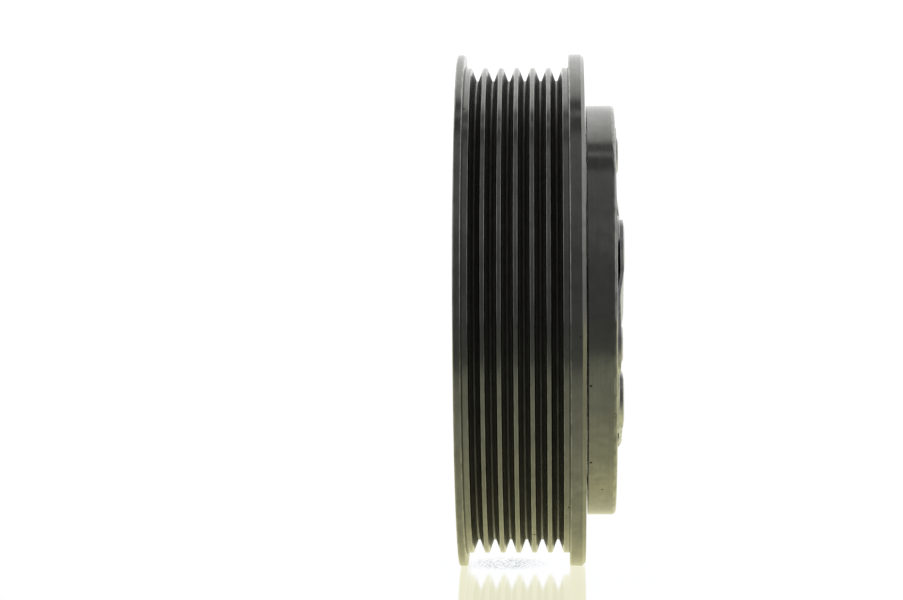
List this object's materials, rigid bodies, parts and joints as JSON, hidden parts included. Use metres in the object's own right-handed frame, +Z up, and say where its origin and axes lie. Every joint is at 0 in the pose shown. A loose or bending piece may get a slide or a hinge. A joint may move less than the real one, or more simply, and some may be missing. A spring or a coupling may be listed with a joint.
{
  "type": "electromagnetic clutch",
  "caption": "Electromagnetic clutch for a belt-driven compressor: grooved pulley on a bearing, fixed coil, armature disc on leaf springs and a splined hub.",
  "frame": {"origin": "middle of the bearing bore, on the spin axis", "axes": "+X along the spin axis from the coil side to the armature side, +Z up, -Y towards the viewer of the grooved rim"},
  "size_m": [0.0388, 0.116, 0.116],
  "materials": {
    "rotor_steel": "dark phosphated, machined grooves",
    "armature_steel": "dark phosphated, turned edge",
    "hub_steel": "phosphated",
    "rivet_steel": "bright pressed heads",
    "spring_steel": "blued",
    "coil_steel": "black coated",
    "plated_steel": "zinc plated",
    "bearing_steel": "ground",
    "copper": "enamelled wire",
    "bobbin_plastic": "matte",
    "cage_plastic": "matte",
    "potting_resin": "glossy cast resin",
    "seal_rubber": "matte",
    "friction_lining": "matte, fibrous"
  },
  "bodies": {
    "stator": {"coil_housing": "coil_steel", "coil_bobbin": "bobbin_plastic", "coil_winding": "copper", "coil_potting": "potting_resin", "mounting_plate": "plated_steel", "locating_pin": "plated_steel", "lead_gland": "seal_rubber", "bearing_inner_ring": "bearing_steel"},
    "pulley": {"pulley_rotor": "rotor_steel", "friction_lining": "friction_lining", "bearing_outer_ring": "bearing_steel", "bearing_seal_rear": "seal_rubber", "bearing_seal_front": "seal_rubber", "bearing_circlip": "spring_steel"},
    "ball_set": {"bearing_balls_rear": "bearing_steel", "bearing_balls_front": "bearing_steel", "bearing_cage_rear": "cage_plastic", "bearing_cage_front": "cage_plastic"},
    "hub": {"hub_boss": "hub_steel", "hub_flange": "hub_steel", "hub_rivets": "rivet_steel", "stop_pads": "seal_rubber", "gap_shim": "spring_steel", "leaf_spring_1": "spring_steel", "leaf_spring_2": "spring_steel", "leaf_spring_3": "spring_steel"},
    "armature": {"armature_plate": "armature_steel", "armature_rivets": "rivet_steel"}
  },
  "joints": [
    {"name": "pulley_spin", "type": "hinge", "parent": "stator", "child": "pulley", "pos_m": [0, 0, 0], "axis": [1, 0, 0], "continuous": true},
    {"name": "cage_spin", "type": "hinge", "parent": "stator", "child": "ball_set", "pos_m": [0, 0, 0], "axis": [1, 0, 0], "continuous": true},
    {"name": "hub_spin", "type": "hinge", "parent": "stator", "child": "hub", "pos_m": [0, 0, 0], "axis": [1, 0, 0], "continuous": true},
    {"name": "armature_travel", "type": "slide", "parent": "hub", "child": "armature", "axis": [-1, 0, 0], "range_m": [0, 0.00045], "stiffness_N_per_m": 30000, "springref_m": -0.00095, "deforming": ["leaf_spring_1", "leaf_spring_2", "leaf_spring_3"]}
  ],
  "couplings": [
    {"joint": "cage_spin", "follows": "pulley_spin", "ratio": 0.5508}
  ]
}
